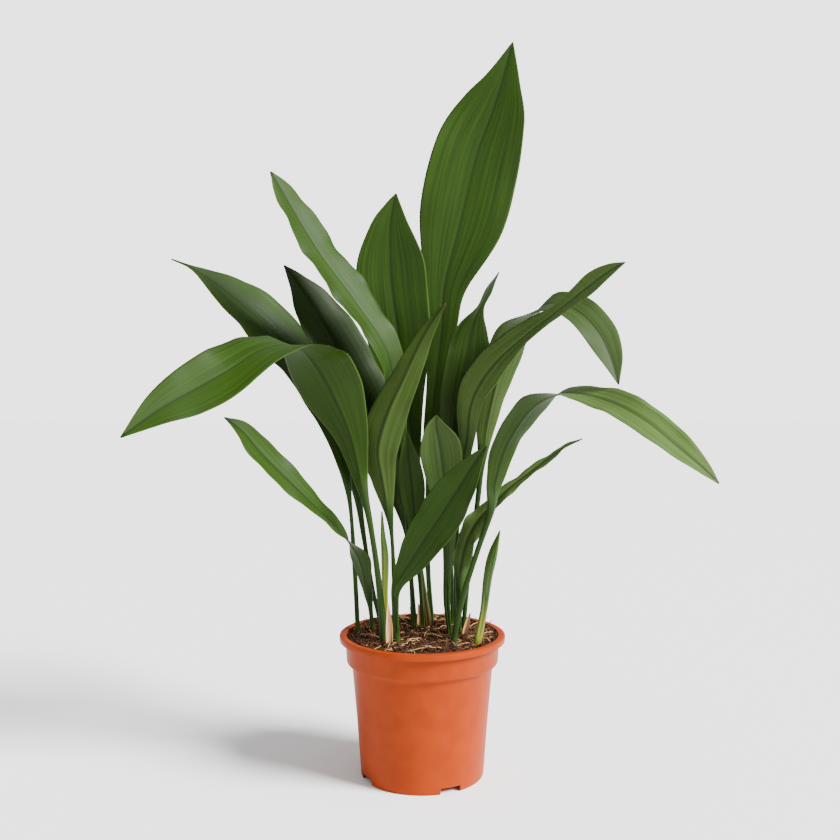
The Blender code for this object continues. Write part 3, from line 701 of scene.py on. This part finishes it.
@dataclass
class NurseryPot:
    """The moulded pot: rolled lip, collar, tapered body, notched foot and drained floor."""

    steps: int = 160
    notches: int = 4
    notch_angle: float = math.radians(26.5)
    notch_size: tuple[float, float, float] = (12 * MM, 22 * MM, 13 * MM)
    notch_reach: float = 62.0 * MM
    drains: int = 8
    drain_radius: float = 4.5 * MM
    drain_circle: float = 40.0 * MM
    drain_depth: float = 20.0 * MM
    drain_middle: float = 7.0 * MM
    section: tuple[tuple[float, float], ...] = (
        (77.7, 144.6), (77.9, 145.6), (78.8, 146.0), (83.0, 146.0), (84.0, 145.8), (84.7, 145.3),
        (85.0, 144.4), (84.9, 141.5), (84.6, 139.8), (84.0, 139.4), (83.4, 139.6), (83.2, 141.5),
        (82.8, 143.0), (82.0, 143.5), (80.6, 143.5), (79.4, 143.0), (79.0, 142.0), (77.8, 120.5),
        (77.6, 119.0), (77.0, 117.6), (76.2, 117.0), (74.2, 116.5), (73.0, 115.6), (72.4, 114.2),
        (71.9, 111.0), (67.4, 60.0), (63.5, 5.0), (63.1, 1.6), (62.6, 0.5), (61.8, 0.0),
        (61.0, 0.0), (60.4, 0.5), (60.2, 6.4), (58.0, 6.4), (0.001, 6.4), (0.001, 8.0),
        (60.0, 8.0), (61.6, 8.6), (62.2, 10.0), (66.0, 60.0), (70.4, 112.0), (71.2, 114.6),
        (72.4, 116.4), (74.6, 118.0), (76.0, 119.4), (76.4, 121.0))

    def build(self) -> bpy.types.Object:
        """Spin the section into the pot, cut notches and drain holes; returns the pot."""
        deselect()
        bpy.ops.mesh.primitive_circle_add(vertices=len(self.section), radius=1.0)
        pot = bpy.context.active_object
        pot.name = pot.data.name = "moulded_pot"
        set_points(pot, np.array([(r * MM, 0.0, z * MM) for r, z in self.section]))
        bpy.ops.object.mode_set(mode="EDIT")
        bpy.ops.mesh.select_all(action="SELECT")
        bpy.ops.mesh.spin(steps=self.steps, angle=2 * math.pi, center=(0, 0, 0), axis=(0, 0, 1))
        bpy.ops.mesh.select_all(action="SELECT")
        bpy.ops.mesh.remove_doubles(threshold=0.01 * MM)
        bpy.ops.mesh.normals_make_consistent(inside=False)
        bpy.ops.object.mode_set(mode="OBJECT")
        for tool in (*self._notches(), *self._drains()):
            self._cut(pot, tool)
        hold(pot)
        bpy.ops.object.shade_smooth_by_angle(angle=math.radians(35))
        return finish_piece(pot, PotPlastic().make(), ["nursery_pot"])

    def _notches(self) -> list[bpy.types.Object]:
        """Four boxes through the foot ring; returns them."""
        tools = []
        for i in range(self.notches):
            angle = self.notch_angle - math.pi / 2 + i * 2 * math.pi / self.notches
            x, y = self.notch_reach * math.cos(angle), self.notch_reach * math.sin(angle)
            deselect()
            bpy.ops.mesh.primitive_cube_add(
                size=1.0, rotation=(0, 0, angle), scale=self.notch_size, location=(x, y, 0))
            tools.append(bpy.context.active_object)
        return tools

    def _drains(self) -> list[bpy.types.Object]:
        """Round cutters for the floor, a ring of them and one in the middle; returns them."""
        tools = []
        for i in range(self.drains + 1):
            reach = self.drain_circle if i < self.drains else 0.0
            angle = i * 2 * math.pi / self.drains
            x, y = reach * math.cos(angle), reach * math.sin(angle)
            deselect()
            bpy.ops.mesh.primitive_cylinder_add(vertices=32, radius=self.drain_radius,
                                                depth=self.drain_depth, location=(x, y, self.drain_middle))
            tools.append(bpy.context.active_object)
        return tools

    def _cut(self, pot: bpy.types.Object, tool: bpy.types.Object) -> None:
        """Cut one tool out of the pot and remove it."""
        hold(pot)
        step = pot.modifiers.new("cut", "BOOLEAN")
        step.operation = "DIFFERENCE"
        step.object = tool
        bpy.ops.object.modifier_apply(modifier=step.name)
        bpy.data.objects.remove(tool)


@dataclass(frozen=True)
class Fibre:
    """One kind of fibre in the potting mix, lengths and thickness in millimetres."""

    name: str
    colour: str
    count: int
    shortest: float
    longest: float
    thick: float
    lift: float
    standing: float = 0.0


FIBRE_POINTS = 8
FIBRES: tuple[Fibre, ...] = (
    Fibre("straw_fibres", "#b08a58", 64, 12.0, 38.0, 0.85, 3.5),
    Fibre("coir_fibres", "#6a3f20", 320, 9.0, 32.0, 0.55, 4.0),
    Fibre("dark_fibres", "#26150b", 180, 8.0, 26.0, 0.50, 4.5),
    Fibre("wiry_roots", "#140d08", 46, 10.0, 26.0, 0.50, 6.0, standing=12.0),
)


@dataclass
class SoilBed:
    """The potting mix: a clodded surface, loose crumbs and bark, and coir fibres."""

    edge: float = 76.8 * MM
    cells: int = 200
    crumbs: int = 620
    seed: int = 11
    rng: np.random.Generator = field(init=False)

    def __post_init__(self) -> None:
        """Seed the scatter."""
        self.rng = np.random.default_rng(self.seed)

    def height(self, x: float, y: float) -> float:
        """Height of the clodded surface at a place."""
        reach = math.hypot(x, y) / self.edge
        mound = (144.2 - 0.6 * reach**2 + 1.2 * y / self.edge) * MM
        big = noise.noise(Vector((x * 90, y * 90, 3.7))) * 1.6 * MM
        clod = abs(noise.noise(Vector((x * 230, y * 230, 9.1)))) * 4.0 * MM
        fine = noise.noise(Vector((x * 700, y * 700, 1.3))) * 1.0 * MM
        return mound + big + clod + fine

    def build(self) -> None:
        """Build the bed, its crumbs and its fibres."""
        bark = DampSoil("bark_crumbs", ((0.32, "#160b05"), (0.5, "#351d0e"), (0.7, "#5f3c20")), 6.0)
        finish_piece(self._bed(), DampSoil().make(), ["potting_soil"])
        finish_piece(self._crumbs(), bark.make(), [])
        for kind in FIBRES:
            finish_piece(self._fibres(kind), PlainFinish(kind.name, kind.colour, 0.85).make(), [])

    def _bed(self) -> bpy.types.Object:
        """A grid drawn into a disc, raised into clods and extruded down to the pot's floor."""
        deselect()
        bpy.ops.mesh.primitive_grid_add(x_subdivisions=self.cells, y_subdivisions=self.cells, size=2.0)
        bed = bpy.context.active_object
        bed.name = bed.data.name = "soil_bed"
        flat = get_points(bed)
        u, v = flat[:, 0], flat[:, 1]
        x = u * np.sqrt(1 - v**2 / 2) * self.edge
        y = v * np.sqrt(1 - u**2 / 2) * self.edge
        z = np.array([self.height(a, b) for a, b in zip(x, y)])
        set_points(bed, np.stack([x, y, z], axis=1))
        bpy.ops.object.mode_set(mode="EDIT")
        bpy.ops.mesh.select_mode(type="VERT")
        bpy.ops.mesh.select_all(action="DESELECT")
        bpy.ops.mesh.select_non_manifold()
        for drop, squeeze in ((-22.0, 0.94), (-106.0, 0.84)):
            bpy.ops.mesh.extrude_region_move(TRANSFORM_OT_translate={"value": (0, 0, drop * MM)})
            bpy.ops.transform.resize(value=(squeeze, squeeze, 1.0), center_override=(0, 0, 0))
        bpy.ops.mesh.edge_face_add()
        bpy.ops.mesh.select_all(action="SELECT")
        bpy.ops.mesh.normals_make_consistent(inside=False)
        bpy.ops.object.mode_set(mode="OBJECT")
        bpy.ops.object.shade_smooth()
        return bed

    def _crumb_shapes(self) -> list[bpy.types.Object]:
        """Six rough lumps and chips, each modelled once."""
        shapes = []
        for i in range(6):
            deselect()
            bpy.ops.mesh.primitive_ico_sphere_add(subdivisions=2 if i < 2 else 1, radius=1.0)
            lump = bpy.context.active_object
            points = get_points(lump)
            knobs = np.array([noise.noise(Vector(p) * 1.3 + Vector((i * 7.0, 0, 0))) for p in points])
            set_points(lump, points * (1 + 0.55 * knobs[:, None]) * [1.0, 0.8, 0.45 + 0.1 * i])
            shapes.append(lump)
        return shapes

    def _crumbs(self) -> bpy.types.Object:
        """Copies of the lumps scattered over the bed and joined; returns them as one piece."""
        shapes = self._crumb_shapes()
        copies = []
        for i in range(self.crumbs):
            source = shapes[i % len(shapes)]
            lump = source.copy()
            lump.data = source.data.copy()
            bpy.context.collection.objects.link(lump)
            reach = self.edge * math.sqrt(self.rng.random()) * 0.96
            angle = self.rng.random() * 2 * math.pi
            size = (0.9 + 2.6 * self.rng.random() ** 3.0) * MM
            x, y = reach * math.cos(angle), reach * math.sin(angle)
            spin = Matrix.Rotation(self.rng.random() * 6.3, 4, Vector(self.rng.normal(size=3)).normalized())
            put = Matrix.Translation((x, y, self.height(x, y) + size * 0.25))
            lump.data.transform(put @ spin @ Matrix.Scale(size, 4))
            copies.append(lump)
        deselect()
        for lump in copies:
            lump.select_set(True)
        bpy.context.view_layer.objects.active = copies[0]
        bpy.ops.object.join()
        crumbs = bpy.context.active_object
        crumbs.name = crumbs.data.name = "soil_crumbs"
        for source in shapes:
            bpy.data.objects.remove(source)
        return crumbs

    def _fibres(self, kind: Fibre) -> bpy.types.Object:
        """Thin curved fibres lying on and poking out of the bed; returns them as one mesh."""
        curve = bpy.data.curves.new(kind.name, "CURVE")
        curve.dimensions = "3D"
        curve.bevel_depth = kind.thick / 2 * MM
        curve.bevel_resolution = 0
        curve.use_fill_caps = True
        for _ in range(kind.count):
            self._fibre(curve, kind)
        strand = bpy.data.objects.new(kind.name, curve)
        bpy.context.collection.objects.link(strand)
        hold(strand)
        bpy.ops.object.convert(target="MESH")
        strand = bpy.context.active_object
        bpy.ops.object.shade_smooth()
        return strand

    def _fibre(self, curve: bpy.types.Curve, kind: Fibre) -> None:
        """Add one fibre: a bent arc over the soil, or a root whose end stands up near the rim.

        Args:
            curve: The curve that takes it.
            kind: What fibre it is.
        """
        share = self.rng.random()
        reach = self.edge * (math.sqrt(share) * 0.93 if not kind.standing else 0.70 + 0.27 * share)
        start = self.rng.random() * 2 * math.pi
        heading = self.rng.random() * 2 * math.pi if not kind.standing else start + self.rng.normal() * 1.2
        bend = self.rng.normal() * 0.6
        length = (kind.shortest + (kind.longest - kind.shortest) * self.rng.random() ** 1.6) * MM
        lift = kind.lift * self.rng.random() ** 2 * MM
        rise = kind.standing * self.rng.random() * MM
        x, y = reach * math.cos(start), reach * math.sin(start)
        points = []
        for i in range(FIBRE_POINTS):
            t = i / (FIBRE_POINTS - 1)
            stride = length / (FIBRE_POINTS - 1) * (0.55 if kind.standing else 1.0)
            angle = heading + bend * t + 0.15 * math.sin(5.0 * t + start)
            above = 0.4 * MM + lift * math.sin(math.pi * t) + rise * t * t
            points.append((x, y, self.height(x, y) + above))
            x += math.cos(angle) * stride
            y += math.sin(angle) * stride
            if math.hypot(x, y) > self.edge * 0.97 and not kind.standing:
                break
        if len(points) < 3:
            return
        spline = curve.splines.new("POLY")
        spline.points.add(len(points) - 1)
        for place, point in zip(points, spline.points):
            point.co = (*place, 1.0)
            point.radius = 0.6 + 0.8 * self.rng.random()


@dataclass
class Studio:
    """Plain white floor, soft light from the upper right and the camera."""

    camera_place: tuple[float, float, float] = (-0.0024, -1.1, 0.43)
    tilt_down: float = math.radians(3.38)
    lens: float = 46.46
    key_place: tuple[float, float, float] = (1.6, -0.75, 1.65)
    key: float = 12.5
    key_width: float = math.radians(24.0)
    ambient: float = 0.7
    backdrop: float = 3.0

    def build(self) -> None:
        """Build the floor, the lights, the world and the camera."""
        deselect()
        bpy.ops.mesh.primitive_plane_add(size=12.0, location=(0, 0, 0))
        floor = bpy.context.active_object
        floor.name = floor.data.name = "floor"
        floor.data.materials.append(PlainFinish("white_paper_floor", "#fbfbfb", 0.9).make())
        self._world()
        self._key()
        camera = bpy.data.cameras.new("camera")
        camera.lens = self.lens
        camera.sensor_width = 36.0
        holder = bpy.data.objects.new("camera", camera)
        bpy.context.scene.collection.objects.link(holder)
        holder.location = self.camera_place
        holder.rotation_euler = (math.pi / 2 - self.tilt_down, 0.0, 0.0)
        bpy.context.scene.camera = holder

    def _world(self) -> None:
        """A white backdrop round the floor, with a dimmer, even light from all sides."""
        world = bpy.data.worlds.new("studio")
        world.use_nodes = True
        tree = world.node_tree
        surround = tree.nodes["Background"]
        surround.inputs["Color"].default_value = (1.0, 1.0, 1.0, 1.0)
        seen = add_node(tree, "ShaderNodeLightPath").outputs["Is Camera Ray"]
        level = add_node(tree, "ShaderNodeMapRange", inputs={3: self.ambient, 4: self.backdrop},
                         links={0: seen})
        tree.links.new(level.outputs[0], surround.inputs["Strength"])
        bpy.context.scene.world = world

    def _key(self) -> None:
        """One broad, soft light from the upper right and front, even over the whole floor."""
        lamp = bpy.data.lights.new("key", "SUN")
        lamp.energy = self.key
        lamp.angle = self.key_width
        holder = bpy.data.objects.new("key", lamp)
        holder.location = self.key_place
        aim = Vector((0.0, 0.0, 0.3)) - Vector(self.key_place)
        holder.rotation_euler = aim.to_track_quat("-Z", "Y").to_euler()
        bpy.context.scene.collection.objects.link(holder)


def main() -> None:
    """Build every sub-assembly in order and report each piece."""
    logging.basicConfig(level=logging.INFO, format="%(name)s: %(message)s")
    NurseryPot().build()
    SoilBed().build()
    # one leaf material per tone: copies of one green with painted light and shade
    greens = {tone: LivingLeaf(tone).make() for tone in Tone}
    for leaf, tone in LEAVES:
        finish_piece(leaf.draw(), greens[tone], [leaf.name])
    young = YoungShoot().make()
    sheathed = YoungShoot("sheathed_shoot", "#4a2c12").make()
    for shoot in SHOOTS:
        soft = sheathed if shoot.name == "centre_shoot" else young
        finish_piece(shoot.draw(), soft, [shoot.name])
    papery = DrySheath().make()
    for sheath in SHEATHS:
        finish_piece(sheath.draw(), papery, [sheath.name])
    Studio().build()


if __name__ == "__main__":
    main()
